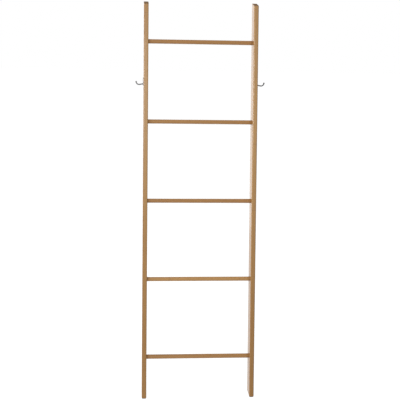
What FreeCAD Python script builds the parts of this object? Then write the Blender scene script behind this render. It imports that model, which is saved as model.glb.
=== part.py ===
# Blanket ladder: two slanted bamboo rails, five round rungs, two side hooks. Millimetres.
# It stands as in use: feet flat on the floor (z = 0), top rear corners against a wall on the +Y
# side, front towards -Y. The origin is on the floor, under the middle of the whole ladder.
import FreeCAD, Part
import math
import os

from FreeCAD import Vector

# Overall sizes
LEAN = 15.0                # degrees that the rails lean back from upright
RAIL_LENGTH = 1758.0       # along the rail's front face
TOP_RISE = 15.0            # degrees that the rails' top cut rises from the front to the wall
LADDER_WIDTH = 510.0       # over the rails' outer faces
RAIL_THICK = 21.0          # side to side
RAIL_DEPTH = 45.0          # front to back
RAIL_EDGE_R = 5.0          # rounding of the rail's long edges
RAIL_END_R = 1.2           # rounding of the rail's cut ends
WALL_FACET = 16.0          # height of the upright facet at the top rear corner

# Rungs, counted from the top
RUNG_COUNT = 5
RUNG_D = 19.0
RUNG_PITCH = 355.0
TOP_MARGIN = 158.0         # from the rail's front top corner down to the first rung
SOCKET_DEPTH = 6.0         # how far a rung end sits in its rail
RUNG_END_CHAMFER = 0.8

# Bolt and threaded insert at each rung end
BOLT_D = 5.9
BOLT_LENGTH = 40.0         # under the head
BOLT_TIP_CHAMFER = 0.8
HEAD_D = 13.0
HEAD_H = 2.8
HEAD_CHAMFER = 0.6
HEX_KEY = 4.0              # across flats
HEX_DEPTH = 2.0
COUNTERBORE_D = 14.0
COUNTERBORE_DEPTH = 3.4
BOLT_HOLE_D = 6.6
INSERT_D = 9.0
INSERT_LENGTH = 15.0
INSERT_BORE_D = 6.0
PILOT_D = 6.6
PILOT_DEPTH = 33.0         # from the rung's end face

# Side hooks
HOOK_DROP = 188.0          # from the first rung's axis down to the hook's arm
PLATE_H = 34.0
PLATE_W = 13.0
PLATE_THICK = 2.5
PLATE_CORNER_R = 3.0
PLATE_EDGE = 0.5           # chamfer of the plate's outer rim
ARM_ABOVE_PLATE_FOOT = 7.0
ARM_D = 5.5
ARM_REACH = 30.5           # from the rail's face to where the arm's two straight lines meet
ARM_DROOP = 10.0           # degrees that the arm slopes down on its way out
ARM_SPREAD = 8.0           # degrees that the upturned end leans outward
ARM_BEND_R = 13.0
TIP_RISE = 9.0             # height of the ball's centre over the arm's root
TIP_D = 7.0
ROOT_D = 9.0               # the arm's flared root on the plate
ROOT_LENGTH = 4.0
SCREW_ABOVE_PLATE_FOOT = {"lower": 17.0, "upper": 28.0}

# Countersunk screws of the hook plates
SCREW_D = 3.0
SCREW_LENGTH = 16.0        # with the head
SCREW_TIP = 3.0            # length of the pointed end
SCREW_POINT_R = 0.2
SCREW_HEAD_D = 6.0
SCREW_HEAD_H = 1.6
SCREW_HOLE_D = 3.4
CROSS_SLOT = (3.4, 0.8, 0.9)   # length, width, depth of the driver's cross

# Pads
FOOT_PAD_H = 3.0
FOOT_PAD_INSET = 1.0       # from the edges of the rail's cut end
FOOT_PAD_R = 4.0
WALL_PAD_THICK = 2.0
WALL_PAD_SIZE = (11.0, 12.0)   # wide, high
WALL_PAD_UP = 1.4          # from the facet's foot to the pad's
WALL_PAD_R = 2.0

SIDES = {"left": -1, "right": 1}

CUT_OVER = 1.0             # how far a drill runs past the surface that it starts from
NEAR = 0.01                # two lengths closer than this are the same

LEAN_RAD = math.radians(LEAN)
SIN, COS, TAN = math.sin(LEAN_RAD), math.cos(LEAN_RAD), math.tan(LEAN_RAD)
RISE_RAD = math.radians(TOP_RISE)
TAN_RISE = math.tan(RISE_RAD)
HALF_WIDTH = LADDER_WIDTH / 2
INNER_X = HALF_WIDTH - RAIL_THICK
RUNG_END_X = INNER_X + SOCKET_DEPTH
RUNG_HEIGHTS = [RAIL_LENGTH - TOP_MARGIN - i * RUNG_PITCH for i in range(RUNG_COUNT)]
HOOK_HEIGHT = RUNG_HEIGHTS[0] - HOOK_DROP


# The rails' ends, before the ladder is centred: the front top corner, the sharp rear one, and the
# upright facet that takes the sharp corner off
FRONT_TOP_Y = RAIL_LENGTH * SIN
FRONT_TOP_Z = FOOT_PAD_H + RAIL_LENGTH * COS
REAR_LENGTH = RAIL_LENGTH + RAIL_DEPTH * math.tan(LEAN_RAD + RISE_RAD)
REAR_TOP_Y = REAR_LENGTH * SIN + RAIL_DEPTH * COS
REAR_TOP_Z = FOOT_PAD_H + REAR_LENGTH * COS - RAIL_DEPTH * SIN
FACET_DEPTH = WALL_FACET / (1 / TAN - TAN_RISE)
FACET_Y = REAR_TOP_Y - FACET_DEPTH
TOP_Z = REAR_TOP_Z - FACET_DEPTH * TAN_RISE
WALL_Y = FACET_Y + WALL_PAD_THICK
CENTRE_Y = WALL_Y / 2


def lean(shape):
    """Turns a shape from the rail's own frame into the leaning ladder's place.

    The rail's frame has x across, y from the front face backwards and z up along the front face,
    from the front corner of the foot.
    """
    placed = shape.copy()
    placed.rotate(Vector(0, 0, 0), Vector(1, 0, 0), -LEAN)
    placed.translate(Vector(0, -CENTRE_Y, FOOT_PAD_H))
    return placed


def save(node, shape):
    """Writes one piece, or one group of like solids, to its own file."""
    shape.exportStep("parts/" + node + ".step")


def rod(x0, x1, diameter, z=0.0):
    """A round bar along x, on the rails' middle depth at the height z."""
    start = Vector(min(x0, x1), RAIL_DEPTH / 2, z)
    return Part.makeCylinder(diameter / 2, abs(x1 - x0), start, Vector(1, 0, 0))


def long_edges(shape, direction):
    """The edges of a flat-sided shape that run along a direction."""
    found = []
    for edge in shape.Edges:
        sideways = edge.tangentAt(edge.FirstParameter).cross(direction).Length
        if sideways < NEAR:
            found.append(edge)
    return found


def rail_blank():
    """The rail of the right side before drilling: level foot, rising top cut, facet at the wall."""
    profile = [
        (0, FOOT_PAD_H),
        (RAIL_DEPTH / COS, FOOT_PAD_H),
        (FACET_Y, TOP_Z - WALL_FACET),
        (FACET_Y, TOP_Z),
        (FRONT_TOP_Y, FRONT_TOP_Z),
    ]
    points = [Vector(INNER_X, y - CENTRE_Y, z) for y, z in profile]
    face = Part.Face(Part.makePolygon(points + points[:1]))
    blank = face.extrude(Vector(RAIL_THICK, 0, 0))
    along = Vector(0, SIN, COS)
    blank = blank.makeFillet(RAIL_EDGE_R, long_edges(blank, along))
    ends = [e for e in blank.Edges if is_end_edge(e)]
    return blank.makeFillet(RAIL_END_R, ends)


def is_end_edge(edge):
    """True for the edges round the level foot or the rising top cut of a rail."""
    at_foot, at_top = True, True
    for corner in edge.Vertexes:
        rise = (corner.Y + CENTRE_Y - FRONT_TOP_Y) * TAN_RISE
        at_foot = at_foot and abs(corner.Z - FOOT_PAD_H) < NEAR
        at_top = at_top and abs(corner.Z - FRONT_TOP_Z - rise) < NEAR
    return at_foot or at_top


def make_rail(side):
    """A rail with the rung sockets, the bolt holes and the pilot holes of the hook screws."""
    rail = rail_blank()
    if side < 0:
        rail = rail.mirror(Vector(0, 0, 0), Vector(1, 0, 0))
    cuts = []
    for z in RUNG_HEIGHTS:
        cuts.append(rod(side * (INNER_X - CUT_OVER), side * RUNG_END_X, RUNG_D, z))
        cuts.append(rod(side * INNER_X, side * HALF_WIDTH, BOLT_HOLE_D, z))
        bore_end = HALF_WIDTH - COUNTERBORE_DEPTH
        cuts.append(rod(side * bore_end, side * (HALF_WIDTH + CUT_OVER), COUNTERBORE_D, z))
    for screw_z in SCREW_ABOVE_PLATE_FOOT.values():
        cuts.append(screw_body(side, screw_height(screw_z)))
    for cut in cuts:
        rail = rail.cut(lean(cut))
    return rail


def make_rung(z):
    """A round rung with a stepped hole in each end for the insert and the bolt."""
    rung = rod(-RUNG_END_X, RUNG_END_X, RUNG_D, z)
    rims = [e for e in rung.Edges if e.Closed]
    rung = rung.makeChamfer(RUNG_END_CHAMFER, rims)
    for side in SIDES.values():
        end = side * RUNG_END_X
        rung = rung.cut(rod(end, end - side * INSERT_LENGTH, INSERT_D, z))
        rung = rung.cut(rod(end, end - side * PILOT_DEPTH, PILOT_D, z))
    return rung


def make_bolt(side, z):
    """A low-headed hex-socket bolt, sunk in the rail's outer face."""
    seat = HALF_WIDTH - COUNTERBORE_DEPTH
    head = rod(side * seat, side * (seat + HEAD_H), HEAD_D, z)
    head = head.makeChamfer(HEAD_CHAMFER, outer_rim(head, side))
    shank = rod(side * (seat - BOLT_LENGTH), side * seat, BOLT_D, z)
    shank = shank.makeChamfer(BOLT_TIP_CHAMFER, outer_rim(shank, -side))
    key = hex_prism(side, seat + HEAD_H - HEX_DEPTH, z)
    return head.fuse(shank).cut(key).removeSplitter()


def outer_rim(bar, direction):
    """The round edge at one end of a bar along x."""
    ends = [e for e in bar.Edges if e.Closed]
    return [max(ends, key=lambda e: direction * e.BoundBox.Center.x)]


def hex_prism(side, start_x, z):
    """The six-sided hole of a bolt's head."""
    radius = HEX_KEY / math.sqrt(3)
    middle = RAIL_DEPTH / 2
    corners = []
    for i in range(6):
        turn = math.radians(60 * i)
        corners.append(Vector(side * start_x, middle + radius * math.cos(turn),
                              z + radius * math.sin(turn)))
    face = Part.Face(Part.makePolygon(corners + corners[:1]))
    return face.extrude(Vector(side * (HEX_DEPTH + CUT_OVER), 0, 0))


def make_insert(side, z):
    """The threaded insert in a rung's end."""
    end = side * RUNG_END_X
    inner_end = end - side * INSERT_LENGTH
    body = rod(end, inner_end, INSERT_D, z)
    return body.cut(rod(end + side * CUT_OVER, inner_end - side * CUT_OVER, INSERT_BORE_D, z))


def hook_plate(side):
    """The hook's upright plate, with rounded corners and two countersunk holes."""
    foot_z = HOOK_HEIGHT - ARM_ABOVE_PLATE_FOOT
    front_y = RAIL_DEPTH / 2 - PLATE_W / 2
    near_x = min(side * HALF_WIDTH, side * (HALF_WIDTH + PLATE_THICK))
    plate = Part.makeBox(PLATE_THICK, PLATE_W, PLATE_H, Vector(near_x, front_y, foot_z))
    corners = [e for e in plate.Edges if e.BoundBox.XLength > PLATE_THICK / 2]
    plate = plate.makeFillet(PLATE_CORNER_R, corners)
    outer_x = side * (HALF_WIDTH + PLATE_THICK)
    rim = [e for e in plate.Edges if abs(e.BoundBox.XMin - outer_x) < NEAR
           and abs(e.BoundBox.XMax - outer_x) < NEAR]
    return plate.makeChamfer(PLATE_EDGE, rim)


def hook_arm(side):
    """The round arm that runs out from the plate and turns up into a ball."""
    middle = RAIL_DEPTH / 2
    droop, spread = math.radians(ARM_DROOP), math.radians(ARM_SPREAD)
    outward = Vector(side * math.cos(droop), 0, -math.sin(droop))
    rise = Vector(side * math.sin(spread), 0, math.cos(spread))
    root_x = PLATE_THICK / 2
    drop = (ARM_REACH - root_x) * math.tan(droop)
    start = Vector(side * (HALF_WIDTH + root_x), middle, HOOK_HEIGHT)
    corner = Vector(side * (HALF_WIDTH + ARM_REACH), middle, HOOK_HEIGHT - drop)
    half_turn = (math.pi / 2 - spread + droop) / 2
    setback = ARM_BEND_R * math.tan(half_turn)
    bend_start = corner - outward * setback
    bend_end = corner + rise * setback
    ball = corner + rise * ((TIP_RISE + drop) / math.cos(spread))
    towards_centre = (rise - outward).normalize()
    bend_middle = corner + towards_centre * (ARM_BEND_R / math.cos(half_turn) - ARM_BEND_R)
    path = Part.Wire([
        Part.LineSegment(start, bend_start).toShape(),
        Part.Arc(bend_start, bend_middle, bend_end).toShape(),
        Part.LineSegment(bend_end, ball).toShape(),
    ])
    section = Part.Wire(Part.makeCircle(ARM_D / 2, start, outward))
    arm = path.makePipeShell([section], True, True)
    root = Part.makeCone(ROOT_D / 2, ARM_D / 2, ROOT_LENGTH, start, outward)
    return arm.fuse(root).fuse(Part.makeSphere(TIP_D / 2, ball))


def screw_height(above_foot):
    """Height of a hook screw along the rail."""
    return HOOK_HEIGHT - ARM_ABOVE_PLATE_FOOT + above_foot


def screw_body(side, z, diameter=SCREW_D):
    """A countersunk screw without its driver's cross, its head flush with the plate."""
    outer = HALF_WIDTH + PLATE_THICK
    middle = RAIL_DEPTH / 2
    inward = Vector(-side, 0, 0)
    head = Part.makeCone(SCREW_HEAD_D / 2, diameter / 2, SCREW_HEAD_H,
                         Vector(side * outer, middle, z), inward)
    shank_end = outer - SCREW_LENGTH + SCREW_TIP
    shank = rod(side * (outer - SCREW_HEAD_H), side * shank_end, diameter, z)
    tip = Part.makeCone(diameter / 2, SCREW_POINT_R, SCREW_TIP,
                        Vector(side * shank_end, middle, z), inward)
    return head.fuse(shank).fuse(tip).removeSplitter()


def make_hook(side):
    """One hook: the plate, the arm and the ball in one casting, drilled for its screws."""
    hook = hook_plate(side).fuse(hook_arm(side)).removeSplitter()
    for above_foot in SCREW_ABOVE_PLATE_FOOT.values():
        z = screw_height(above_foot)
        hook = hook.cut(screw_body(side, z, SCREW_HOLE_D))
    return hook


def make_screw(side, z):
    """A hook screw with a cross in its head."""
    screw = screw_body(side, z)
    length, width, depth = CROSS_SLOT
    outer = HALF_WIDTH + PLATE_THICK
    near_x = side * outer - (depth if side > 0 else 0)
    middle = RAIL_DEPTH / 2
    for wide, high in ((length, width), (width, length)):
        corner = Vector(near_x, middle - wide / 2, z - high / 2)
        screw = screw.cut(Part.makeBox(depth, wide, high, corner))
    return screw


def make_foot_pad(side):
    """The anti-slip pad under a rail's level foot."""
    wide = RAIL_THICK - 2 * FOOT_PAD_INSET
    deep = RAIL_DEPTH / COS - 2 * FOOT_PAD_INSET
    corner_x = side * (HALF_WIDTH - RAIL_THICK / 2) - wide / 2
    pad = Part.makeBox(wide, deep, FOOT_PAD_H, Vector(corner_x, FOOT_PAD_INSET - CENTRE_Y, 0))
    uprights = [e for e in pad.Edges if e.BoundBox.ZLength > FOOT_PAD_H / 2]
    return pad.makeFillet(FOOT_PAD_R, uprights)


def make_wall_pad(side):
    """The pad on the facet at a rail's top rear corner."""
    wide, high = WALL_PAD_SIZE
    corner_x = side * (HALF_WIDTH - RAIL_THICK / 2) - wide / 2
    corner_z = TOP_Z - WALL_FACET + WALL_PAD_UP
    corner = Vector(corner_x, FACET_Y - CENTRE_Y, corner_z)
    pad = Part.makeBox(wide, WALL_PAD_THICK, high, corner)
    across = [e for e in pad.Edges if e.BoundBox.YLength > WALL_PAD_THICK / 2]
    return pad.makeFillet(WALL_PAD_R, across)


def build_side(name, side):
    """Everything that belongs to one rail."""
    save(name + "_rail", make_rail(side))
    for number, z in enumerate(RUNG_HEIGHTS, 1):
        save(name + "_bolt_" + str(number), lean(make_bolt(side, z)))
        save(name + "_insert_" + str(number), lean(make_insert(side, z)))
    save(name + "_hook", lean(make_hook(side)))
    for place, above_foot in SCREW_ABOVE_PLATE_FOOT.items():
        save(name + "_hook_" + place + "_screw", lean(make_screw(side, screw_height(above_foot))))
    save(name + "_foot_pad", make_foot_pad(side))
    save(name + "_wall_pad", make_wall_pad(side))


os.makedirs("parts", exist_ok=True)
for rung_number, rung_z in enumerate(RUNG_HEIGHTS, 1):
    save("rung_" + str(rung_number), lean(make_rung(rung_z)))
for side_name, side_sign in SIDES.items():
    build_side(side_name, side_sign)
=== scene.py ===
"""The looks of a leaning bamboo blanket ladder: rails, rungs, bolts, side hooks and pads. Metres."""
import math

import bmesh
import bpy
from mathutils import Matrix, Vector


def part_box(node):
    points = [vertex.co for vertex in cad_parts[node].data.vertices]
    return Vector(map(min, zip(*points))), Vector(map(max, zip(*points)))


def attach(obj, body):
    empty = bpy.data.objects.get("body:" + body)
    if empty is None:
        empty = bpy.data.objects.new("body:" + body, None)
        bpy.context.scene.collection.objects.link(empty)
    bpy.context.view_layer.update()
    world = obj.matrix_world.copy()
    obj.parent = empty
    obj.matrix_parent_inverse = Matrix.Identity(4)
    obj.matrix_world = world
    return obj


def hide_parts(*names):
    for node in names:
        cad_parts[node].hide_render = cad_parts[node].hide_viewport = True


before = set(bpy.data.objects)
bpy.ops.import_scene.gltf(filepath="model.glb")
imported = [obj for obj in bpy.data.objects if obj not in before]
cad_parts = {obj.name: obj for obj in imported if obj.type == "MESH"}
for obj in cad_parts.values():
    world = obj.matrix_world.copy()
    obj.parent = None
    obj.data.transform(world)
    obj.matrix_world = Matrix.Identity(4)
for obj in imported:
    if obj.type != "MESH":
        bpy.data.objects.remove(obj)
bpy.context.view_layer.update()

MM = 0.001
HAIR = 1e-5                      # two places closer than this are the same
FULL_TURN = 2 * math.pi
LARGE_FACES_FIRST = 100          # of 1 to 100: the larger, the more a large face outweighs a small one
SIDES = {"left": -1, "right": 1}

# Rails. Their own upright frame has x across, y back from the front face and z up along it.
LEAN = math.radians(15.0)
RAIL_LENGTH = 1758 * MM          # along the front face
TOP_RISE = math.radians(15.0)    # how steeply the top cut climbs from the front to the wall
RAIL_DEPTH = 45 * MM
RAIL_MIDDLE = RAIL_DEPTH / 2
RAIL_EDGE_R = 5 * MM
RAIL_END_R = 1.6 * MM            # measured back from the cut's edges
FACET_EDGE = 0.5 * MM
SAW_ALLOWANCE = 60 * MM          # what the beam has over at each end before it is sawn

# Rungs and the holes for them
RUNG_COUNT = 5
RUNG_R = 9.5 * MM
RUNG_CHAMFER = 0.8 * MM
RUNG_SIDES = 64
RUNG_RINGS = 12                  # stretches that a rung's length is divided into
SOCKET_DEPTH = 6 * MM
SOCKET_GAP = 0.15 * MM           # the fine dark line round a rung where it enters the rail
MOUTH_EASE = 0.3 * MM            # the broken edge of a drilled hole
PILOT_R = 3.3 * MM
PILOT_DEPTH = 33 * MM
BORE_R = 7 * MM
BORE_DEPTH = 3.4 * MM
BOLT_HOLE_R = 3.3 * MM
DRILL_OVER = 1 * MM              # how far a drill or cutter starts outside the piece
PAST = 0.1 * MM                  # how far a small cutter or a joined shape passes the other one

# Threads
THREAD_FLANK = 0.55              # width of a thread's flank for each unit of its depth
THREAD_LAND = 0.2                # least flat for each unit of the pitch
THREAD_RUN_IN = 1.5              # turns wound before the start, which are cut off again
THREAD_SPARE = 3                 # turns wound in all beyond the thread's own

# Bolts and inserts
BOLT_R = 2.95 * MM
BOLT_ROOT_R = 2.45 * MM
BOLT_LENGTH = 40 * MM
BOLT_THREAD = 26 * MM
BOLT_PITCH = 1 * MM
HEAD_R = 6.5 * MM
HEAD_H = 2.8 * MM
HEAD_CHAMFER = 0.6 * MM
HEX_R = 4 * MM / math.sqrt(3)
HEX_DEPTH = 2 * MM
HEX_POINT = 0.7 * MM             # the drilled point below the six-sided hole
NECK_R = 0.3 * MM                # the rounding under the head
SHANK_LAP = 0.5 * MM             # how far the plain shank reaches into the threaded rod
INSERT_R = 4.5 * MM
INSERT_ROOT_R = 3.9 * MM
INSERT_LENGTH = 15 * MM
INSERT_PITCH = 2.2 * MM
INSERT_BORE_R = 3 * MM

# Side hooks
HOOK_BELOW_RUNG = 188 * MM
PLATE_H = 34 * MM
PLATE_W = 13 * MM
PLATE_THICK = 2.5 * MM
PLATE_CORNER_R = 3 * MM
PLATE_EDGE = 0.5 * MM
ARM_ABOVE_PLATE_FOOT = 7 * MM
ARM_R = 2.75 * MM
ARM_REACH = 30.5 * MM
ARM_DROOP = math.radians(10.0)
ARM_SPREAD = math.radians(8.0)
ARM_BEND_R = 13 * MM
TIP_RISE = 9 * MM
TIP_R = 3.5 * MM
ROOT_R = 4.5 * MM
ROOT_LENGTH = 4 * MM
ARM_SIDES = 32
ROOT_STEPS = 6
BEND_STEPS = 16
BALL_RINGS = (-38, -26, -13, 0, 13, 26, 38, 50, 62, 73, 82)    # degrees above the ball's middle
BALL_POLE = 0.02                 # what is left of the last ring's size at the ball's very tip
SCREW_ABOVE_PLATE_FOOT = {"lower": 17 * MM, "upper": 28 * MM}

# Hook screws
SCREW_R = 1.5 * MM
SCREW_CORE_R = 1.05 * MM
SCREW_LENGTH = 16 * MM
SCREW_NECK = 5 * MM
SCREW_PITCH = 1.2 * MM
SCREW_TIP = 3 * MM
SCREW_POINT_R = 0.2 * MM
SCREW_HEAD_R = 3 * MM
SCREW_HEAD_H = 1.6 * MM
SCREW_HOLE_R = 1.7 * MM
CROSS_LONG = 3.4 * MM
CROSS_WIDE = 0.8 * MM
CROSS_DEEP = 0.9 * MM
CROSS_TAPER = 0.62               # the cross's size at its floor for each unit at its mouth

# Pads
FOOT_PAD_R = 4 * MM
WALL_PAD_R = 2 * MM
PAD_EDGE = 0.5 * MM
TREAD_COUNT = 7
TREAD_WIDE = 1.2 * MM
TREAD_DEEP = 0.8 * MM

# Places that the frame gives
RAIL_LOW, RAIL_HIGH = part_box("right_rail")
WALL_PAD_LOW, WALL_PAD_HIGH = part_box("right_wall_pad")
HALF_WIDTH = RAIL_HIGH.x
INNER_X = RAIL_LOW.x
RAIL_THICK = HALF_WIDTH - INNER_X
RUNG_END_X = INNER_X + SOCKET_DEPTH
BORE_FLOOR_X = HALF_WIDTH - BORE_DEPTH
FOOT_Z = RAIL_LOW.z
FACET_Y = WALL_PAD_LOW.y
FOOT_FRONT = Vector((0, -WALL_PAD_HIGH.y, FOOT_Z))


def screw_height(above_foot):
    """Height along the rail of a hook screw, from how far it is above the plate's foot."""
    return HOOK_HEIGHT - ARM_ABOVE_PLATE_FOOT + above_foot


def along_rail(node):
    """How far up the rail's front face the middle of a node is."""
    low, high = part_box(node)
    return (Matrix.Rotation(LEAN, 3, "X") @ ((low + high) / 2 - FOOT_FRONT)).z


RUNG_HEIGHTS = {number: along_rail("rung_%d" % number) for number in range(1, RUNG_COUNT + 1)}
HOOK_HEIGHT = RUNG_HEIGHTS[1] - HOOK_BELOW_RUNG


# ---------------------------------------------------------------- bench work

def put_down():
    """Closes whatever is open and leaves nothing selected."""
    if bpy.context.object and bpy.context.object.mode != "OBJECT":
        bpy.ops.object.mode_set(mode="OBJECT")
    bpy.ops.object.select_all(action="DESELECT")


def pick_up(piece):
    """Selects one piece and nothing else."""
    put_down()
    piece.select_set(True)
    bpy.context.view_layer.objects.active = piece


def name_it(name):
    """Names the piece that was just made."""
    piece = bpy.context.object
    piece.name = name
    piece.data.name = name
    return piece


def open_up(piece, kind="FACE"):
    """Opens a piece in edit mode with nothing selected."""
    pick_up(piece)
    bpy.ops.object.mode_set(mode="EDIT")
    bpy.ops.mesh.select_mode(type=kind)
    bpy.ops.mesh.select_all(action="DESELECT")


def choose(piece, kind, test):
    """Opens a piece and selects the corners, edges or faces that pass a test."""
    open_up(piece, kind)
    mesh = bmesh.from_edit_mesh(piece.data)
    parts = {"VERT": mesh.verts, "EDGE": mesh.edges, "FACE": mesh.faces}[kind]
    for part in parts:
        part.select_set(bool(test(part)))
    mesh.select_flush_mode()
    bmesh.update_edit_mesh(piece.data)


def place(piece, shift=(0, 0, 0), turn=(0, 0, 0)):
    """Turns and shifts a piece, with the place kept in its mesh."""
    pick_up(piece)
    piece.rotation_euler = turn
    piece.location = shift
    bpy.ops.object.transform_apply(location=True, rotation=True, scale=True)
    return piece


def lean(piece):
    """Sets a piece made in the rail's upright frame into the leaning ladder."""
    return place(piece, FOOT_FRONT, (-LEAN, 0, 0))


def other_side(piece):
    """Turns a right-hand piece round to the left rail, so that its thread stays right-handed."""
    return place(piece, (0, RAIL_DEPTH, 0), (0, 0, math.pi))


def copy_of(piece, name):
    """A copy of a piece, with a mesh of its own."""
    pick_up(piece)
    bpy.ops.object.duplicate()
    return name_it(name)


def throw_away(*pieces):
    """Removes tools and patterns that are no longer needed."""
    for piece in pieces:
        bpy.data.objects.remove(piece)


def block(name, low, high):
    """A rectangular block between two corners."""
    put_down()
    low, high = Vector(low), Vector(high)
    bpy.ops.mesh.primitive_cube_add(size=1, location=(low + high) / 2, scale=high - low)
    piece = name_it(name)
    bpy.ops.object.transform_apply(location=True, rotation=True, scale=True)
    return piece


def runs_along(axis):
    """Edges that run only along one axis."""
    def test(edge):
        step = edge.verts[0].co - edge.verts[1].co
        return abs(step[axis]) > step.length * 0.999
    return test


def lies_in(through, away):
    """Edges that lie in one plane, which a point and its normal give."""
    return lambda edge: all(abs((v.co - through).dot(away)) < HAIR for v in edge.verts)


def bevel_edges(piece, test, width, segments):
    """Rounds the edges that pass a test."""
    choose(piece, "EDGE", test)
    bpy.ops.mesh.bevel(offset=width, segments=segments, affect="EDGES", clamp_overlap=True)
    put_down()


def saw(piece, through, away):
    """Cuts a piece flat and closes the cut; what lies on the side that away points to goes."""
    open_up(piece)
    bpy.ops.mesh.select_all(action="SELECT")
    bpy.ops.mesh.bisect(plane_co=through, plane_no=away, use_fill=True, clear_outer=True)
    put_down()


def machine(piece, tool, how):
    """Cuts a tool's shape out of a piece, keeps only what they share, or welds it on."""
    pick_up(piece)
    step = piece.modifiers.new("step", "BOOLEAN")
    step.operation = how
    step.solver = "EXACT"
    step.object = tool
    bpy.ops.object.modifier_apply(modifier=step.name)
    return piece


def tidy_normals(piece):
    """Joins corners that coincide and turns all faces outwards."""
    open_up(piece)
    bpy.ops.mesh.select_all(action="SELECT")
    bpy.ops.mesh.remove_doubles(threshold=HAIR / 10)
    bpy.ops.mesh.normals_make_consistent(inside=False)
    put_down()


def draw_line(name, points):
    """Draws a line from place to place, as a turner draws a template."""
    put_down()
    bpy.ops.mesh.primitive_plane_add(size=MM, location=points[0])
    piece = name_it(name)
    bpy.ops.object.transform_apply(location=True, rotation=True, scale=True)
    open_up(piece, "VERT")
    bpy.ops.mesh.select_all(action="SELECT")
    bpy.ops.mesh.merge(type="CENTER")
    for near, far in zip(points, points[1:]):
        step = Vector(far) - Vector(near)
        bpy.ops.mesh.extrude_vertices_move(TRANSFORM_OT_translate={"value": step})
    put_down()
    return piece


def turned(name, template, sides):
    """A turned piece on the rails' middle depth; the template gives x and radius from end to end."""
    piece = draw_line(name, [(x, RAIL_MIDDLE, radius) for x, radius in template])
    open_up(piece, "VERT")
    bpy.ops.mesh.select_all(action="SELECT")
    bpy.ops.mesh.spin(steps=sides, angle=FULL_TURN, center=(0, RAIL_MIDDLE, 0), axis=(1, 0, 0))
    tidy_normals(piece)
    return piece


def threaded(name, start, end, core, crest, pitch, sides=24):
    """A threaded rod along x, cut square at both ends."""
    flank = (crest - core) * THREAD_FLANK
    land = max(pitch - 2 * flank, THREAD_LAND * pitch) / 2
    rise = pitch / 2 - land
    template = [(0, core), (land, core), (land + rise, crest), (pitch - rise, crest), (pitch, core)]
    rod = draw_line(name, [(x, RAIL_MIDDLE, radius) for x, radius in template])
    place(rod, (start - pitch * THREAD_RUN_IN, -RAIL_MIDDLE, 0))
    wind = rod.modifiers.new("wind", "SCREW")
    wind.axis = "X"
    wind.angle = FULL_TURN
    wind.steps = wind.render_steps = sides
    wind.screw_offset = pitch
    wind.iterations = math.ceil((end - start) / pitch) + THREAD_SPARE
    wind.use_merge_vertices = False
    pick_up(rod)
    bpy.ops.object.modifier_apply(modifier=wind.name)
    place(rod, (0, RAIL_MIDDLE, 0))
    tidy_normals(rod)
    saw(rod, (start, 0, 0), (-1, 0, 0))
    saw(rod, (end, 0, 0), (1, 0, 0))
    tidy_normals(rod)
    return rod


def finish_faces(piece, angle=30.0, even=True):
    """Smooths rounded places; even keeps large flat faces flat right up to their roundings."""
    pick_up(piece)
    bpy.ops.object.shade_smooth_by_angle(angle=math.radians(angle))
    if even:
        weigh = piece.modifiers.new("weigh", "WEIGHTED_NORMAL")
        weigh.keep_sharp = True
        weigh.weight = LARGE_FACES_FIRST
        bpy.ops.object.modifier_apply(modifier=weigh.name)
    return piece


def hand_over(piece, node, material):
    """Gives a finished piece its material and its place in the frame."""
    piece.data.materials.clear()
    piece.data.materials.append(material)
    put_down()
    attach(piece, "root")
    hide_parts(node)


# ---------------------------------------------------------------- materials

def add(tree, kind, *wires, **settings):
    """Adds a node; each wire is a socket to link, a value to set, or None to leave alone."""
    made = tree.nodes.new("ShaderNode" + kind)
    for setting, value in settings.items():
        setattr(made, setting, value)
    for socket, wire in zip(made.inputs, wires):
        if isinstance(wire, bpy.types.NodeSocket):
            tree.links.new(wire, socket)
        elif wire is not None:
            socket.default_value = wire
    return made


def maths(tree, operation, *wires):
    """The result of one Math node."""
    return add(tree, "Math", *wires, operation=operation).outputs[0]


def ramp(tree, value, low, high, to_low=0.0, to_high=1.0):
    """Eases a value from one level to another between two limits."""
    eased = add(tree, "MapRange", value, low, high, to_low, to_high, interpolation_type="SMOOTHSTEP")
    return eased.outputs[0]


def blend_colours(tree, amount, first, second, how="MIX"):
    """Goes from the first colour to the second as the amount goes from 0 to 1."""
    mix = tree.nodes.new("ShaderNodeMix")
    mix.data_type = "RGBA"
    mix.blend_type = how
    for name, wire in (("Factor_Float", amount), ("A_Color", first), ("B_Color", second)):
        socket = next(s for s in mix.inputs if s.identifier == name)
        if isinstance(wire, bpy.types.NodeSocket):
            tree.links.new(wire, socket)
        else:
            socket.default_value = wire
    return next(s for s in mix.outputs if s.identifier == "Result_Color")


def noise(tree, vector, detail, scale=1.0):
    """Soft noise from 0 to 1, with finer waves where detail is larger."""
    return add(tree, "TexNoise", vector, None, scale, detail).outputs[0]


def cells(tree, vector):
    """How far a place is from the middle of its cell."""
    return add(tree, "TexVoronoi", vector, None, 1.0).outputs[0]


def stretched(tree, vector, grain):
    """The same place scaled for a texture; a grain is its waves per metre across and along."""
    across, along = grain
    return add(tree, "VectorMath", vector, (across, across, along), operation="MULTIPLY").outputs[0]


def add_bump(tree, shader, height, strength, distance):
    """Gives a surface the fine relief of a height."""
    bump = tree.nodes.new("ShaderNodeBump")
    bump.inputs["Strength"].default_value = strength
    bump.inputs["Distance"].default_value = distance
    tree.links.new(height, bump.inputs["Height"])
    tree.links.new(bump.outputs[0], shader.inputs["Normal"])


def new_material(name):
    """A material with its node tree and its shader."""
    material = bpy.data.materials.new(name)
    material.use_nodes = True
    return material, material.node_tree, material.node_tree.nodes["Principled BSDF"]


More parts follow.
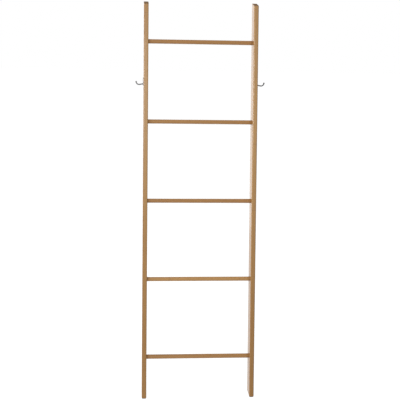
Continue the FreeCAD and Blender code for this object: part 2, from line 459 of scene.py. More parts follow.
STRIP = RAIL_DEPTH / 7           # width of one bamboo strip in the laminate
RUNG_STRIPS = 3                  # strips that a rung is turned from
RUNG_BROWN = {1: 0.75, 2: 0.60, 3: 0.45, 4: 0.10, 5: 0.55}
STRAW = (0.560, 0.318, 0.118, 1)
HONEY = (0.410, 0.205, 0.066, 1)
FIBRE = (0.200, 0.088, 0.028, 1)
KNUCKLE = (0.130, 0.056, 0.020, 1)
END_GROUND = (0.230, 0.125, 0.052, 1)
END_FIBRE = (0.080, 0.040, 0.018, 1)
# painted shade: the brown laid over the rails' roundings and the rungs' ends
PAINTED_SHADE_BROWN = (0.240, 0.118, 0.042, 1)

# Grains of the cane: waves per metre across it and along it
BROAD_TONE = (160.0, 3.0)
STREAKS = (900.0, 9.0)
FINE_FIBRES = (2600.0, 38.0)
BUNDLES = (1150.0, 17.0)
PORES = (1500.0, 0.0)            # the bundles seen end on
KNUCKLE_WAVES = (170.0, 1.0)

# How strongly each mark shows over the board's ground
SHOWS = {"streak": 0.33, "fibre": 0.22, "bundle": 0.26, "swell": 0.20, "lip": 0.35, "ring": 0.62,
         "glue": 0.55, "glue at end": 0.60, "pore": 0.85}

KNUCKLE_PITCH = 0.25             # metres from knuckle to knuckle, at least
KNUCKLE_PITCH_MORE = 0.07        # and what chance may add
KNUCKLE_SCATTER = 0.9            # how far chance may move a strip's knuckles
KNUCKLE_WANDER = 5 * MM          # how crooked a knuckle's line is
LIP_FROM_KNUCKLE = 2.6 * MM      # from a knuckle's dark ring to its pale lip
OUTER_SKIN = 1 * MM              # nearer a board's faces the strip is that of the place just inside
STRIP_SCATTER = 3.0              # how far apart chance takes two strips' grains

# Lacquer, painted shade and brown of the rails and rungs
FULL_LACQUER_AT = 0.8            # up this share of a rail its lacquer is whole
FOOT_LACQUER = 0.3               # and this much at the foot
RIGHT_FOOT_EXTRA_SHADE = 0.3                 # extra painted shade at the foot of the right rail
LIGHT_PEAK_AT = 2 / 3                # painted light: up this share of a rail it is palest
FOOT_SHADE_BROWN = 0.5             # painted shade: brown at its foot, the end furthest from there
INNER_SHADE = 0.15                 # painted shade on a rail's inner roundings, when the outer ones have 1
RUNG_SHADE_REACH = SOCKET_DEPTH * 4     # how far from its end a rung has painted shade and less lacquer
END_FADE = (0.2 * MM, 1.0 * MM)  # how deep the look of a cut end goes
RAIL_BOARDS = 3.0                # board numbers, which give every rail and rung its own chances
RUNG_BOARDS = 11.0


def laminate(tree, spot, board, thick):
    """The strip that a place lies in: its chance values, the place in its own grain, its glue line."""
    through = add(tree, "SeparateXYZ", spot).outputs[1]
    inside = maths(tree, "MINIMUM", maths(tree, "MAXIMUM", through, OUTER_SKIN),
                   maths(tree, "SUBTRACT", thick, OUTER_SKIN))
    strips = maths(tree, "DIVIDE", inside, STRIP)
    lot = add(tree, "CombineXYZ", maths(tree, "FLOOR", strips), board, 0.0).outputs[0]
    chance = add(tree, "TexWhiteNoise", lot, noise_dimensions="2D").outputs
    scatter = add(tree, "VectorMath", chance["Color"], (STRIP_SCATTER,) * 3, operation="MULTIPLY")
    shifted = add(tree, "VectorMath", spot, scatter.outputs[0], operation="ADD").outputs[0]
    part = maths(tree, "FRACT", strips)
    edge = maths(tree, "MINIMUM", part, maths(tree, "SUBTRACT", 1.0, part))
    return chance, shifted, ramp(tree, edge, 0.008, 0.030, 1.0, 0.0)


def knuckles(tree, shifted, along, chance):
    """The knuckles of the cane, every strip with its own: dark ring, pale lip and broad swell."""
    lucky = add(tree, "SeparateColor", chance["Color"]).outputs
    pitch = maths(tree, "MULTIPLY_ADD", lucky[2], KNUCKLE_PITCH_MORE, KNUCKLE_PITCH)
    wander = noise(tree, stretched(tree, shifted, KNUCKLE_WAVES), 1.0)
    height = maths(tree, "ADD", along, maths(tree, "MULTIPLY", wander, KNUCKLE_WANDER))
    start = maths(tree, "MULTIPLY_ADD", lucky[1], KNUCKLE_SCATTER, height)
    turns = maths(tree, "DIVIDE", start, pitch)
    middle = maths(tree, "SUBTRACT", maths(tree, "FRACT", turns), 0.5)
    off = maths(tree, "MULTIPLY", maths(tree, "ABSOLUTE", middle), pitch)
    from_lip = maths(tree, "ABSOLUTE", maths(tree, "SUBTRACT", off, LIP_FROM_KNUCKLE))
    ring = ramp(tree, off, 0.15 * MM, 0.9 * MM, 1.0, 0.0)
    lip = ramp(tree, from_lip, 0.1 * MM, 1.5 * MM, 1.0, 0.0)
    swell = ramp(tree, off, 1.0 * MM, 9.0 * MM, 1.0, 0.0)
    return ring, lip, swell


def marked(tree, colour, mark, name, paint):
    """Lays a mark over a colour as strongly as it shows."""
    return blend_colours(tree, maths(tree, "MULTIPLY", mark, SHOWS[name]), colour, paint)


def bamboo_group():
    """Laminated bamboo. Place is in metres: x across the strips' width, y through the laminate, z along.

    BrownAndShade darkens a board from straw to honey: for a rung its own tone, for a rail painted shade
    along it.
    PaintedShade is painted shade on a rail's roundings and near a rung's ends, End marks its cut ends, and
    Lacquer is how much clear coat it has away from the painted shade and the cut ends.
    """
    tree = bpy.data.node_groups.new("laminated_bamboo", "ShaderNodeTree")
    face = tree.interface
    face.new_socket("Place", in_out="INPUT", socket_type="NodeSocketVector")
    for socket in ("Board", "Thick", "BrownAndShade", "PaintedShade", "End", "Lacquer"):
        face.new_socket(socket, in_out="INPUT", socket_type="NodeSocketFloat")
    face.new_socket("Colour", in_out="OUTPUT", socket_type="NodeSocketColor")
    for socket in ("Height", "Dullness", "Lacquer"):
        face.new_socket(socket, in_out="OUTPUT", socket_type="NodeSocketFloat")
    into = tree.nodes.new("NodeGroupInput").outputs
    out = tree.nodes.new("NodeGroupOutput").inputs
    chance, shifted, glue = laminate(tree, into["Place"], into["Board"], into["Thick"])
    along = add(tree, "SeparateXYZ", into["Place"]).outputs[2]
    ring, lip, swell = knuckles(tree, shifted, along, chance)
    # fibres, from broad tone to single bundles
    broad = noise(tree, stretched(tree, shifted, BROAD_TONE), 2.0)
    fine = noise(tree, stretched(tree, shifted, FINE_FIBRES), 3.0)
    streak = noise(tree, stretched(tree, shifted, STREAKS), 3.0)
    dash = ramp(tree, cells(tree, stretched(tree, shifted, BUNDLES)), 0.10, 0.34, 1.0, 0.0)
    # the board's long faces
    tone = maths(tree, "MULTIPLY_ADD", chance["Value"], 0.40,
                 maths(tree, "MULTIPLY_ADD", broad, 0.45, into["BrownAndShade"]))
    colour = blend_colours(tree, ramp(tree, tone, 0.0, 1.2), STRAW, HONEY)
    colour = blend_colours(tree, ramp(tree, streak, 0.45, 0.75, 0.0, SHOWS["streak"]), colour, FIBRE)
    colour = blend_colours(tree, ramp(tree, fine, 0.40, 0.75, 0.0, SHOWS["fibre"]), colour, FIBRE)
    colour = marked(tree, colour, dash, "bundle", FIBRE)
    colour = marked(tree, colour, swell, "swell", HONEY)
    colour = marked(tree, colour, lip, "lip", STRAW)
    colour = marked(tree, colour, ring, "ring", KNUCKLE)
    colour = marked(tree, colour, glue, "glue", KNUCKLE)
    # painted shade on the roundings and rung ends, a little uneven along the streaks; the lacquer is taken
    # off there too
    painted_shade = maths(tree, "MULTIPLY", into["PaintedShade"], ramp(tree, streak, 0.30, 0.60, 0.50, 0.85))
    colour = blend_colours(tree, painted_shade, colour, PAINTED_SHADE_BROWN)
    # its cut ends
    pore = ramp(tree, cells(tree, stretched(tree, shifted, PORES)), 0.12, 0.38, SHOWS["pore"], 0.0)
    cut = marked(tree, blend_colours(tree, pore, END_GROUND, END_FIBRE), glue, "glue at end", KNUCKLE)
    tree.links.new(blend_colours(tree, into["End"], colour, cut), out["Colour"])
    # relief and gloss
    relief = maths(tree, "MULTIPLY_ADD", fine, 0.5, maths(tree, "MULTIPLY", dash, -0.35))
    relief = maths(tree, "MULTIPLY_ADD", ring, -0.6, relief)
    relief = maths(tree, "MULTIPLY_ADD", glue, -0.5, relief)
    tree.links.new(relief, out["Height"])
    dull = maths(tree, "MULTIPLY_ADD", fine, 0.10, maths(tree, "MULTIPLY", broad, 0.08))
    dull = maths(tree, "MULTIPLY_ADD", into["End"], 0.30, dull)
    tree.links.new(dull, out["Dullness"])
    coat_loss = maths(tree, "MAXIMUM", into["End"], painted_shade)
    lacquer = maths(tree, "MULTIPLY", into["Lacquer"], ramp(tree, coat_loss, 0.0, 1.0, 1.0, 0.0))
    tree.links.new(lacquer, out["Lacquer"])
    return tree


def bamboo_material(name, group, dullness, thick, board, tint):
    """Lacquered bamboo; board turns a place on the ladder into a place in the laminate."""
    material, tree, shader = new_material(name)
    here = add(tree, "TexCoord").outputs["Object"]
    upright = add(tree, "Mapping", here, None, (LEAN, 0, 0)).outputs[0]
    parts = add(tree, "SeparateXYZ", upright).outputs
    foot = Matrix.Rotation(LEAN, 3, "X") @ FOOT_FRONT
    depth = maths(tree, "SUBTRACT", parts[1], foot.y)
    height = maths(tree, "SUBTRACT", parts[2], foot.z)
    cane = tree.nodes.new("ShaderNodeGroup")
    cane.node_tree = group
    for socket, wire in board(tree, parts[0], depth, height).items():
        tree.links.new(wire, cane.inputs[socket])
    cane.inputs["Thick"].default_value = thick
    colour = blend_colours(tree, 1.0, cane.outputs["Colour"], tint, "MULTIPLY")
    tree.links.new(colour, shader.inputs["Base Color"])
    dull = maths(tree, "ADD", cane.outputs["Dullness"], dullness)
    tree.links.new(dull, shader.inputs["Roughness"])
    add_bump(tree, shader, cane.outputs["Height"], 0.25, 0.06 * MM)
    tree.links.new(cane.outputs["Lacquer"], shader.inputs["Coat Weight"])
    shader.inputs["Specular IOR Level"].default_value = 0.2
    shader.inputs["Coat IOR"].default_value = 1.45
    shader.inputs["Coat Roughness"].default_value = 0.20
    return material


def nearer_side(tree, place, width):
    """How far a place is from the nearer of two sides at 0 and width."""
    return maths(tree, "MINIMUM", place, maths(tree, "SUBTRACT", width, place))


def in_rounding(tree, place, width):
    """How far a place is inside the strip where the rounding of an edge lies."""
    return maths(tree, "MAXIMUM", maths(tree, "SUBTRACT", RAIL_EDGE_R, nearer_side(tree, place, width)), 0.0)


def rail_board(tree, across, depth, along):
    """A rail: its long way is up, each rail is a board of its own, and painted light makes it palest two
    thirds up.

    It has painted shade on its roundings, most of all on the outer ones, and painted shade towards both
    ends, most at the foot of the right rail. Its lacquer is thinner towards the foot, except on the inner
    face.
    """
    aside = maths(tree, "ABSOLUTE", across)
    sideways = in_rounding(tree, maths(tree, "SUBTRACT", aside, INNER_X), RAIL_THICK)
    backwards = in_rounding(tree, depth, RAIL_DEPTH)
    # painted shade on the roundings, strongest on the outer ones
    rounding = maths(tree, "MULTIPLY", maths(tree, "MULTIPLY", sideways, backwards), 2 / RAIL_EDGE_R ** 2)
    outer = ramp(tree, aside, INNER_X, HALF_WIDTH, INNER_SHADE, 1.0)
    inner_face = ramp(tree, aside, INNER_X + 0.5 * MM, INNER_X + RAIL_EDGE_R / 2, 1.0, 0.0)
    foot = maths(tree, "MULTIPLY_ADD", depth, -math.tan(LEAN), along)
    top = maths(tree, "MULTIPLY_ADD", depth, math.tan(LEAN + TOP_RISE), RAIL_LENGTH)
    end = maths(tree, "MINIMUM", foot, maths(tree, "SUBTRACT", top, along))
    # painted light and shade: palest two thirds up, browner towards both ends, most at the right rail's foot
    light_peak = RAIL_LENGTH * LIGHT_PEAK_AT
    from_light_peak = maths(tree, "ABSOLUTE", maths(tree, "SUBTRACT", along, light_peak))
    brown = ramp(tree, from_light_peak, 0.0, light_peak, 0.0, FOOT_SHADE_BROWN)
    whole = RAIL_LENGTH * FULL_LACQUER_AT
    right_foot_shade = maths(tree, "MULTIPLY", maths(tree, "GREATER_THAN", across, 0.0),
                      ramp(tree, along, 0.0, whole, RIGHT_FOOT_EXTRA_SHADE, 0.0))
    lacquer = ramp(tree, along, 0.0, whole, FOOT_LACQUER, 1.0)
    return {
        "Place": add(tree, "CombineXYZ", across, depth, along).outputs[0],
        "Board": maths(tree, "MULTIPLY", maths(tree, "SIGN", across), RAIL_BOARDS),
        "BrownAndShade": maths(tree, "ADD", brown, right_foot_shade),
        "PaintedShade": maths(tree, "MULTIPLY", rounding, outer),
        "End": ramp(tree, end, *END_FADE, 1.0, 0.0),
        "Lacquer": maths(tree, "MAXIMUM", lacquer, inner_face),
    }


def rung_board(tree, across, depth, along):
    """A rung: its long way is across, and each rung is a board of its own with its own tone."""
    low = min(RUNG_HEIGHTS.values())
    pitch = (max(RUNG_HEIGHTS.values()) - low) / (RUNG_COUNT - 1)
    lot = maths(tree, "ROUND", maths(tree, "DIVIDE", maths(tree, "SUBTRACT", along, low), pitch))
    up = maths(tree, "SUBTRACT", along, maths(tree, "MULTIPLY_ADD", lot, pitch, low))
    through = maths(tree, "ADD", depth, STRIP * RUNG_STRIPS / 2 - RAIL_MIDDLE)
    to_end = maths(tree, "SUBTRACT", RUNG_END_X, maths(tree, "ABSOLUTE", across))
    browns = tree.nodes.new("ShaderNodeValToRGB")
    browns.color_ramp.interpolation = "CONSTANT"
    marks = browns.color_ramp.elements
    for number, brown in sorted(RUNG_BROWN.items(), reverse=True):
        step = RUNG_COUNT - number
        mark = marks[step] if step < 2 else marks.new(step / RUNG_COUNT)
        mark.position = step / RUNG_COUNT
        mark.color = (brown, brown, brown, 1)
    tree.links.new(maths(tree, "DIVIDE", maths(tree, "ADD", lot, 0.5), RUNG_COUNT), browns.inputs[0])
    return {
        "Place": add(tree, "CombineXYZ", up, through, across).outputs[0],
        "Board": maths(tree, "ADD", lot, RUNG_BOARDS),
        "BrownAndShade": browns.outputs[0],
        # painted shade near the rung's ends, next to the rails
        "PaintedShade": ramp(tree, to_end, SOCKET_DEPTH, RUNG_SHADE_REACH, 0.7, 0.0),
        "End": ramp(tree, to_end, *END_FADE, 1.0, 0.0),
        "Lacquer": ramp(tree, to_end, 0.0, RUNG_SHADE_REACH, 0.5, 0.8),
    }


def mottled_material(name, tones, clouds, cloud_range, grain, dullness, bump, metallic=0.0):
    """A material of two clouded tones with a fine grain in its gloss and its relief.

    Clouds and grain are each noise detail and waves per metre.
    """
    material, tree, shader = new_material(name)
    here = add(tree, "TexCoord").outputs["Object"]
    cloud = ramp(tree, noise(tree, here, *clouds), *cloud_range)
    first, second = tones
    tree.links.new(blend_colours(tree, cloud, (*first, 1), (*second, 1)), shader.inputs["Base Color"])
    fine = noise(tree, here, *grain)
    dull = add(tree, "MapRange", fine, 0.3, 0.7, *dullness).outputs[0]
    tree.links.new(dull, shader.inputs["Roughness"])
    add_bump(tree, shader, fine, *bump)
    shader.inputs["Metallic"].default_value = metallic
    return material


def metal_material(name, colour, shade, roughness, waves):
    """Satin metal with a slightly uneven tone and a fine grain."""
    return mottled_material(
        name, tones=(colour, shade), clouds=(3.0, waves), cloud_range=(0.35, 0.70), grain=(2.0, 9000.0),
        dullness=(roughness - 0.05, roughness + 0.06), bump=(0.12, 0.02 * MM), metallic=1.0)


def rubber_material():
    """Matt dark rubber, a little dusty in patches."""
    return mottled_material(
        "pad_rubber", tones=((0.030, 0.026, 0.022), (0.060, 0.052, 0.044)), clouds=(4.0, 350.0),
        cloud_range=(0.35, 0.75), grain=(3.0, 4500.0), dullness=(0.62, 0.80), bump=(0.4, 0.06 * MM))


CANE = bamboo_group()
RAIL_FINISH = bamboo_material("rail_bamboo", CANE, dullness=0.32, thick=RAIL_DEPTH,
                              board=rail_board, tint=(0.96, 0.98, 0.95, 1))
RUNG_FINISH = bamboo_material("rung_bamboo", CANE, dullness=0.34, thick=STRIP * RUNG_STRIPS,
                              board=rung_board, tint=(1.0, 0.96, 0.82, 1))
NICKEL = metal_material("hook_nickel", (0.17, 0.17, 0.172), (0.115, 0.115, 0.117), 0.34, 260.0)
ZINC = metal_material("bolt_zinc", (0.56, 0.56, 0.57), (0.44, 0.45, 0.47), 0.30, 400.0)
BRIGHT_NICKEL = metal_material("screw_nickel", (0.50, 0.49, 0.47), (0.38, 0.37, 0.36), 0.28, 500.0)
BRASS = metal_material("insert_brass", (0.72, 0.50, 0.22), (0.55, 0.36, 0.15), 0.30, 420.0)
RUBBER = rubber_material()


# ---------------------------------------------------------------- rails

def joint_plug():
    """The stepped shape that drills one joint in a right rail: socket, bolt hole, counterbore."""
    socket = RUNG_R + SOCKET_GAP
    return turned("joint_plug", [
        (INNER_X - DRILL_OVER, 0),
        (INNER_X - DRILL_OVER, socket + MOUTH_EASE + DRILL_OVER),
        (INNER_X + MOUTH_EASE, socket),
        (RUNG_END_X, socket),
        (RUNG_END_X, BOLT_HOLE_R),
        (BORE_FLOOR_X, BOLT_HOLE_R),
        (BORE_FLOOR_X, BORE_R),
        (HALF_WIDTH - MOUTH_EASE, BORE_R),
        (HALF_WIDTH + DRILL_OVER, BORE_R + MOUTH_EASE + DRILL_OVER),
        (HALF_WIDTH + DRILL_OVER, 0),
    ], sides=RUNG_SIDES)


def rail_blank(name, side):
    """A straight beam with rounded long edges, leaned back and then sawn at both ends."""
    near, far = sorted((side * INNER_X, side * HALF_WIDTH))
    beam = block(name, (near, 0, -SAW_ALLOWANCE), (far, RAIL_DEPTH, RAIL_LENGTH + SAW_ALLOWANCE))
    bevel_edges(beam, runs_along(2), RAIL_EDGE_R, segments=6)
    lean(beam)
    foot_down = Vector((0, 0, -1))
    top_up = Vector((0, -math.sin(TOP_RISE), math.cos(TOP_RISE)))
    front_top = FOOT_FRONT + Matrix.Rotation(-LEAN, 3, "X") @ Vector((0, 0, RAIL_LENGTH))
    to_wall = Vector((0, 1, 0))
    facet = Vector((0, FACET_Y, 0))
    saw(beam, FOOT_FRONT, foot_down)
    saw(beam, front_top, top_up)
    saw(beam, facet, to_wall)
    bevel_edges(beam, lies_in(FOOT_FRONT, foot_down), RAIL_END_R, segments=4)
    bevel_edges(beam, lies_in(front_top, top_up), RAIL_END_R, segments=4)
    bevel_edges(beam, lies_in(facet, to_wall), FACET_EDGE, segments=2)
    # the rounded top rear corner comes out a hair too high, and is pressed flat
    choose(beam, "VERT", lambda v: v.co.z > RAIL_HIGH.z)
    bpy.ops.transform.resize(value=(1, 1, 0), center_override=RAIL_HIGH)
    put_down()
    return beam


def make_rails(plug, screw_pilot):
    """Both rails, each drilled for five rungs and for the two screws of its hook."""
    for word, side in SIDES.items():
        rail = rail_blank(word + "_rail_board", side)
        cutters = [(plug, z) for z in RUNG_HEIGHTS.values()]
        cutters += [(screw_pilot, screw_height(z)) for z in SCREW_ABOVE_PLATE_FOOT.values()]
        for cutter, height in cutters:
            tool = copy_of(cutter, "tool")
            if side < 0:
                other_side(tool)
            place(tool, (0, 0, height))
            lean(tool)
            machine(rail, tool, "DIFFERENCE")
            throw_away(tool)
        finish_faces(rail)
        hand_over(rail, word + "_rail", RAIL_FINISH)


# ---------------------------------------------------------------- rungs

def make_rungs():
    """Round rungs with softened ends and a stepped hole in each for the insert and the bolt."""
    half = [
        (RUNG_END_X - PILOT_DEPTH, 0),
        (RUNG_END_X - PILOT_DEPTH, PILOT_R),
        (RUNG_END_X - INSERT_LENGTH, PILOT_R),
        (RUNG_END_X - INSERT_LENGTH, INSERT_R),
        (RUNG_END_X, INSERT_R),
        (RUNG_END_X, RUNG_R - RUNG_CHAMFER),
        (RUNG_END_X - RUNG_CHAMFER, RUNG_R),
    ]
    rings = [(INNER_X * (1 - 2 * i / RUNG_RINGS), RUNG_R) for i in range(RUNG_RINGS + 1)]
    template = half + rings + [(-x, radius) for x, radius in reversed(half)]
    first = turned("first_rung", template, sides=RUNG_SIDES)
    for number, height in RUNG_HEIGHTS.items():
        rung = copy_of(first, "round_rung_%d" % number)
        place(rung, (0, 0, height))
        lean(rung)
        finish_faces(rung)
        hand_over(rung, "rung_%d" % number, RUNG_FINISH)
    throw_away(first)


# ---------------------------------------------------------------- bolts and inserts

def first_bolt():
    """A low-headed socket bolt: turned head and shank, threaded end, six-sided hole."""
    head_x = BORE_FLOOR_X + HEAD_H
    end_x = BORE_FLOOR_X - BOLT_LENGTH
    thread_x = end_x + BOLT_THREAD
    body = turned("first_bolt", [
        (thread_x - SHANK_LAP, 0),
        (thread_x - SHANK_LAP, BOLT_ROOT_R - PAST),
        (thread_x, BOLT_ROOT_R - PAST),
        (thread_x + 0.4 * MM, BOLT_R),
        (BORE_FLOOR_X - NECK_R, BOLT_R),
        (BORE_FLOOR_X, BOLT_R + NECK_R),
        (BORE_FLOOR_X, HEAD_R - 0.2 * MM),
        (BORE_FLOOR_X + 0.2 * MM, HEAD_R),
        (head_x - HEAD_CHAMFER, HEAD_R),
        (head_x - HEAD_CHAMFER * 0.3, HEAD_R - HEAD_CHAMFER * 0.35),
        (head_x, HEAD_R - HEAD_CHAMFER),
        (head_x, 0),
    ], sides=48)
    rod = threaded("rod", end_x, thread_x + 0.2 * MM, BOLT_ROOT_R, BOLT_R, BOLT_PITCH)
    point = turned("point", [
        (end_x, 0),
        (end_x, BOLT_ROOT_R - 0.3 * MM),
        (end_x + 0.8 * MM, BOLT_R + PAST),
        (thread_x + 1 * MM, BOLT_R + PAST),
        (thread_x + 1 * MM, 0),
    ], sides=48)
    machine(rod, point, "INTERSECT")
    machine(body, rod, "UNION")
    key = turned("key", [
        (head_x - HEX_DEPTH - HEX_POINT, 0),
        (head_x - HEX_DEPTH, HEX_R),
        (head_x + DRILL_OVER, HEX_R),
        (head_x + DRILL_OVER, 0),
    ], sides=6)
    machine(body, key, "DIFFERENCE")
    mouth = turned("mouth", [
        (head_x - 0.45 * MM, 0),
        (head_x + PAST, HEX_R + 0.12 * MM),
        (head_x + PAST, 0),
    ], sides=48)
    machine(body, mouth, "DIFFERENCE")
    throw_away(rod, point, key, mouth)
    return body


def first_insert():
    """A threaded insert: coarse outer thread and an eased bore."""
    end = RUNG_END_X
    start = end - INSERT_LENGTH
    shell = threaded("first_insert", start, end, INSERT_ROOT_R, INSERT_R, INSERT_PITCH, sides=32)
    bore = turned("bore", [
        (start - DRILL_OVER, 0),
        (start - DRILL_OVER, INSERT_BORE_R),
        (end - 0.6 * MM, INSERT_BORE_R),
        (end + PAST, INSERT_BORE_R + 0.5 * MM),
        (end + PAST, 0),
    ], sides=32)
    machine(shell, bore, "DIFFERENCE")
    throw_away(bore)
    return shell


def make_fastenings():
    """A bolt and an insert at each end of every rung."""
    for first, kind, slot, material in (
        (first_bolt(), "bolt", "bolt_steel", ZINC),
        (first_insert(), "insert", "insert_brass", BRASS),
    ):
        for word, side in SIDES.items():
            for number, height in RUNG_HEIGHTS.items():
                node = "%s_%s_%d" % (word, kind, number)
                piece = copy_of(first, "threaded_" + node)
                if side < 0:
                    other_side(piece)
                place(piece, (0, 0, height))
                lean(piece)
                finish_faces(piece, angle=35.0, even=False)
                hand_over(piece, node, material)
        throw_away(first)


# ---------------------------------------------------------------- hooks and their screws

def screw_template(hole=False):
    """A countersunk screw's outline from its point to its head, or the hole for it in the plate."""
    outer = HALF_WIDTH + PLATE_THICK
    body = SCREW_HOLE_R if hole else SCREW_R
    over = DRILL_OVER if hole else 0
    return [
        (outer - SCREW_LENGTH, 0),
        (outer - SCREW_LENGTH, SCREW_POINT_R),
        (outer - SCREW_LENGTH + SCREW_TIP, body),
        (outer - SCREW_HEAD_H, body),
        (outer + over, SCREW_HEAD_R + over * (SCREW_HEAD_R - body) / SCREW_HEAD_H),
        (outer + over, 0),
    ]


def arm_stations():
    """The arm's line as places, slope and radius: flared root, straight, bend, and the ball."""
    out = Vector((math.cos(ARM_DROOP), 0, -math.sin(ARM_DROOP)))
    rise = Vector((math.sin(ARM_SPREAD), 0, math.cos(ARM_SPREAD)))
    root = Vector((HALF_WIDTH + PLATE_THICK / 2, RAIL_MIDDLE, HOOK_HEIGHT))
    drop = (ARM_REACH - PLATE_THICK / 2) * math.tan(ARM_DROOP)
    corner = Vector((HALF_WIDTH + ARM_REACH, RAIL_MIDDLE, HOOK_HEIGHT - drop))
    whole = math.pi / 2 - ARM_SPREAD + ARM_DROOP
    setback = ARM_BEND_R * math.tan(whole / 2)
    bend_start = corner - out * setback
    centre = bend_start + Vector((-out.z, 0, out.x)) * ARM_BEND_R
    ball = corner + rise * ((TIP_RISE + drop) / math.cos(ARM_SPREAD))
    stations = []
    for i in range(ROOT_STEPS + 1):
        share = i / ROOT_STEPS
        flare = (ROOT_R - ARM_R) * (1 - math.sin(share * math.pi / 2))
        stations.append((root + out * ROOT_LENGTH * (0.3 + 0.9 * share), 0.0, ARM_R + flare))
    for i in range(BEND_STEPS + 1):
        turn = whole * i / BEND_STEPS
        spoke = Matrix.Rotation(-turn, 3, "Y") @ (bend_start - centre)
        if (centre + spoke - ball).length > TIP_R:
            stations.append((centre + spoke, turn, ARM_R))
    for degrees in BALL_RINGS:
        up = math.radians(degrees)
        stations.append((ball + rise * TIP_R * math.sin(up), whole, TIP_R * math.cos(up)))
    return stations, ball + rise * TIP_R


def first_arm():
    """The arm, drawn out ring by ring from its root, bent upwards and closed in a ball."""
    stations, tip = arm_stations()
    at, turn, radius = stations[0]
    put_down()
    bpy.ops.mesh.primitive_circle_add(vertices=ARM_SIDES, radius=radius, fill_type="NGON",
                                      location=at, rotation=(0, math.pi / 2 + ARM_DROOP, 0))
    arm = name_it("arm")
    bpy.ops.object.transform_apply(location=True, rotation=True, scale=True)
    open_up(arm)
    bpy.ops.mesh.select_all(action="SELECT")
    for far, slope, size in stations[1:]:
        bpy.ops.mesh.extrude_region_move(TRANSFORM_OT_translate={"value": far - at})
        if abs(slope - turn) > HAIR:
            bpy.ops.transform.rotate(value=slope - turn, orient_axis="Y", center_override=far)
        bpy.ops.transform.resize(value=(size / radius,) * 3, center_override=far)
        at, turn, radius = far, slope, size
    bpy.ops.mesh.extrude_region_move(TRANSFORM_OT_translate={"value": tip - at})
    bpy.ops.transform.resize(value=(BALL_POLE,) * 3, center_override=tip)
    put_down()
    tidy_normals(arm)
    return arm


def first_hook():
    """One hook: plate, arm and ball in one casting, drilled and countersunk."""
    foot = HOOK_HEIGHT - ARM_ABOVE_PLATE_FOOT
    plate = block("first_hook", (HALF_WIDTH, RAIL_MIDDLE - PLATE_W / 2, foot),
                  (HALF_WIDTH + PLATE_THICK, RAIL_MIDDLE + PLATE_W / 2, foot + PLATE_H))
    bevel_edges(plate, runs_along(0), PLATE_CORNER_R, segments=8)
    bevel_edges(plate, lies_in(Vector((HALF_WIDTH + PLATE_THICK, 0, 0)), Vector((1, 0, 0))),
                PLATE_EDGE, segments=3)
    arm = first_arm()
    machine(plate, arm, "UNION")
    throw_away(arm)
    hole = turned("hole", screw_template(hole=True), sides=32)
    for above_foot in SCREW_ABOVE_PLATE_FOOT.values():
        tool = copy_of(hole, "tool")
        place(tool, (0, 0, screw_height(above_foot)))
        machine(plate, tool, "DIFFERENCE")
        throw_away(tool)
    throw_away(hole)
    return plate


def first_screw():
    """A countersunk wood screw with a cross in its head."""
    outer = HALF_WIDTH + PLATE_THICK
    neck_x = outer - SCREW_NECK
    head = turned("first_screw", [
        (neck_x - 0.4 * MM, 0),
        (neck_x - 0.4 * MM, SCREW_CORE_R - PAST),
        (neck_x, SCREW_R * 0.9),
        (outer - SCREW_HEAD_H, SCREW_R * 0.9),
        (outer - 0.15 * MM, SCREW_HEAD_R),
        (outer, SCREW_HEAD_R - 0.1 * MM),
        (outer, 0),
    ], sides=32)
    rod = threaded("rod", outer - SCREW_LENGTH - SCREW_PITCH, neck_x + PAST,
                   SCREW_CORE_R, SCREW_R, SCREW_PITCH, sides=20)
    pointed_end = screw_template()[:3]
    beyond_neck = [(neck_x + 0.6 * MM, SCREW_R), (neck_x + 0.6 * MM, 0)]
    point = turned("point", pointed_end + beyond_neck, sides=32)
    machine(rod, point, "INTERSECT")
    machine(head, rod, "UNION")
    throw_away(rod, point)
    floor = Vector((outer - CROSS_DEEP, RAIL_MIDDLE, 0))
    for wide, high in ((CROSS_LONG, CROSS_WIDE), (CROSS_WIDE, CROSS_LONG)):
        bit = block("bit", (outer - CROSS_DEEP, RAIL_MIDDLE - wide / 2, -high / 2),
                    (outer + DRILL_OVER, RAIL_MIDDLE + wide / 2, high / 2))
        choose(bit, "FACE", lambda face: face.normal.x < -0.5)
        bpy.ops.transform.resize(value=(1, CROSS_TAPER, CROSS_TAPER), center_override=floor)
        put_down()
        machine(head, bit, "DIFFERENCE")
        throw_away(bit)
    return head


def make_hooks(hook, screw):
    """A hook on each rail with its two screws."""
    for word, side in SIDES.items():
        piece = copy_of(hook, word + "_cast_hook")
        if side < 0:
            other_side(piece)
        lean(piece)
        finish_faces(piece, angle=32.0)
        hand_over(piece, word + "_hook", NICKEL)
        for level, above_foot in SCREW_ABOVE_PLATE_FOOT.items():
            node = "%s_hook_%s_screw" % (word, level)
            piece = copy_of(screw, "cross_" + node)
            if side < 0:
                other_side(piece)
            place(piece, (0, 0, screw_height(above_foot)))
            lean(piece)
            finish_faces(piece, angle=35.0, even=False)
            hand_over(piece, node, BRIGHT_NICKEL)
    throw_away(hook, screw)


# ---------------------------------------------------------------- pads

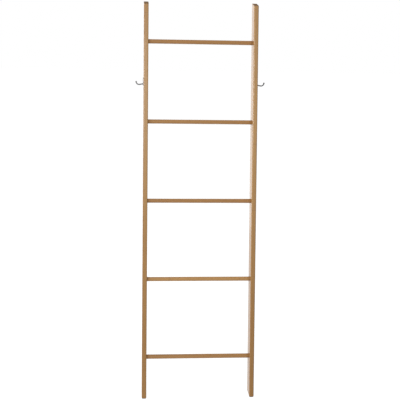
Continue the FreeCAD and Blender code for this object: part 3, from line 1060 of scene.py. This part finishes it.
def make_pads():
    """Rubber feet with a grooved tread, and the small pads at the wall."""
    for word in SIDES:
        low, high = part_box(word + "_foot_pad")
        pad = block(word + "_rubber_foot", low, high)
        bevel_edges(pad, runs_along(2), FOOT_PAD_R, segments=5)
        bevel_edges(pad, lies_in(low, Vector((0, 0, -1))), PAD_EDGE, segments=3)
        pitch = (high.y - low.y) / (TREAD_COUNT + 1)
        for i in range(TREAD_COUNT):
            middle = low.y + pitch * (i + 1)
            groove = block("groove", (low.x - MM, middle - TREAD_WIDE / 2, -MM),
                           (high.x + MM, middle + TREAD_WIDE / 2, TREAD_DEEP))
            machine(pad, groove, "DIFFERENCE")
            throw_away(groove)
        finish_faces(pad)
        hand_over(pad, word + "_foot_pad", RUBBER)
        low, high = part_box(word + "_wall_pad")
        pad = block(word + "_rubber_bumper", low, high)
        bevel_edges(pad, runs_along(1), WALL_PAD_R, segments=5)
        bevel_edges(pad, lies_in(high, Vector((0, 1, 0))), PAD_EDGE, segments=3)
        finish_faces(pad)
        hand_over(pad, word + "_wall_pad", RUBBER)


JOINT_PLUG = joint_plug()
SCREW_PILOT = turned("screw_pilot", screw_template(), sides=32)
make_rails(JOINT_PLUG, SCREW_PILOT)
throw_away(JOINT_PLUG, SCREW_PILOT)
make_rungs()
make_fastenings()
make_hooks(first_hook(), first_screw())
make_pads()


# ---------------------------------------------------------------- camera, floor and light

CAMERA_PLACE = Vector((-0.294, -1.901, 1.564))
CAMERA_YAW = math.radians(2.47)
CAMERA_PITCH = math.radians(-16.74)
CAMERA_ROLL = math.radians(1.01)
SENSOR_WIDTH = 36.0              # mm, as the lens
CAMERA_LENS = 40.58
CAMERA_SHIFT = (0.118, -0.070)


def add_camera():
    """The eye of someone standing in front, a little left of the ladder's middle."""
    data = bpy.data.cameras.new("camera")
    camera = bpy.data.objects.new("camera", data)
    bpy.context.scene.collection.objects.link(camera)
    data.sensor_width = SENSOR_WIDTH
    data.lens = CAMERA_LENS
    data.shift_x, data.shift_y = CAMERA_SHIFT
    camera.location = CAMERA_PLACE
    turn = Matrix.Rotation(-CAMERA_YAW, 3, "Z") @ Matrix.Rotation(math.pi / 2 + CAMERA_PITCH, 3, "X")
    camera.rotation_euler = (turn @ Matrix.Rotation(CAMERA_ROLL, 3, "Z")).to_euler()
    bpy.context.scene.camera = camera


def seen_directly(tree):
    """1 for rays that come from the eye, from a gloss or through glass, and 0 for the rest."""
    path = tree.nodes.new("ShaderNodeLightPath").outputs
    first = maths(tree, "MAXIMUM", path["Is Camera Ray"], path["Is Glossy Ray"])
    return maths(tree, "MAXIMUM", first, path["Is Transmission Ray"])


WORLD_GLOW = 0.40                # how strongly the white surroundings light the ladder


def add_world():
    """White surroundings: full white to the eye, softer as a light."""
    world = bpy.data.worlds.new("studio")
    bpy.context.scene.world = world
    world.use_nodes = True
    tree = world.node_tree
    back = tree.nodes["Background"]
    back.inputs["Color"].default_value = (1, 1, 1, 1)
    strength = ramp(tree, seen_directly(tree), 0.0, 1.0, WORLD_GLOW, 1.0)
    tree.links.new(strength, back.inputs["Strength"])


FLOOR_SIZE = 40                  # metres, far past the edge of every view
FLOOR_PALE = (0.80, 0.80, 0.80, 1)
FLOOR_WHITE = 0.90               # the glow that the eye sees
FLOOR_SHADOW = 0.28              # and how much the lamps and the shadow change it


def add_floor():
    """A plain pale floor: white to the eye, with the ladder's soft shadow kept."""
    put_down()
    bpy.ops.mesh.primitive_plane_add(size=FLOOR_SIZE)
    floor = name_it("studio_floor")
    material, tree, shader = new_material("pale_floor")
    shader.inputs["Base Color"].default_value = FLOOR_PALE
    shader.inputs["Roughness"].default_value = 0.9
    shader.inputs["Specular IOR Level"].default_value = 0.0
    glow = add(tree, "Emission", (1, 1, 1, 1), FLOOR_WHITE).outputs[0]
    shade = add(tree, "BsdfDiffuse", (FLOOR_SHADOW, FLOOR_SHADOW, FLOOR_SHADOW, 1)).outputs[0]
    bright = add(tree, "AddShader", glow, shade).outputs[0]
    seen = add(tree, "MixShader", seen_directly(tree), shader.outputs[0], bright).outputs[0]
    tree.links.new(seen, tree.nodes["Material Output"].inputs["Surface"])
    floor.data.materials.append(material)


def add_lamp(name, spot, target, size, power):
    """A soft panel of light; its power is in watts."""
    data = bpy.data.lights.new(name, "AREA")
    data.shape = "RECTANGLE"
    data.size, data.size_y = size
    data.energy = power
    lamp = bpy.data.objects.new(name, data)
    bpy.context.scene.collection.objects.link(lamp)
    lamp.location = spot
    lamp.rotation_euler = (Vector(target) - Vector(spot)).to_track_quat("-Z", "Y").to_euler()


add_camera()
add_world()
add_floor()
add_lamp("key_softbox", spot=(-1.0, -2.5, 2.5), target=(0, 0, 1.1), size=(1.2, 1.2), power=42)
add_lamp("side_softbox", spot=(-2.8, 0.2, 1.7), target=(0.2, 0, 0.9), size=(1.2, 1.2), power=44)
add_lamp("back_softbox", spot=(-0.22, 1.4, 1.3), target=(0.2, 0, 1.2), size=(0.9, 2.5), power=3)

bpy.context.scene.view_settings.view_transform = "Standard"

put_down()
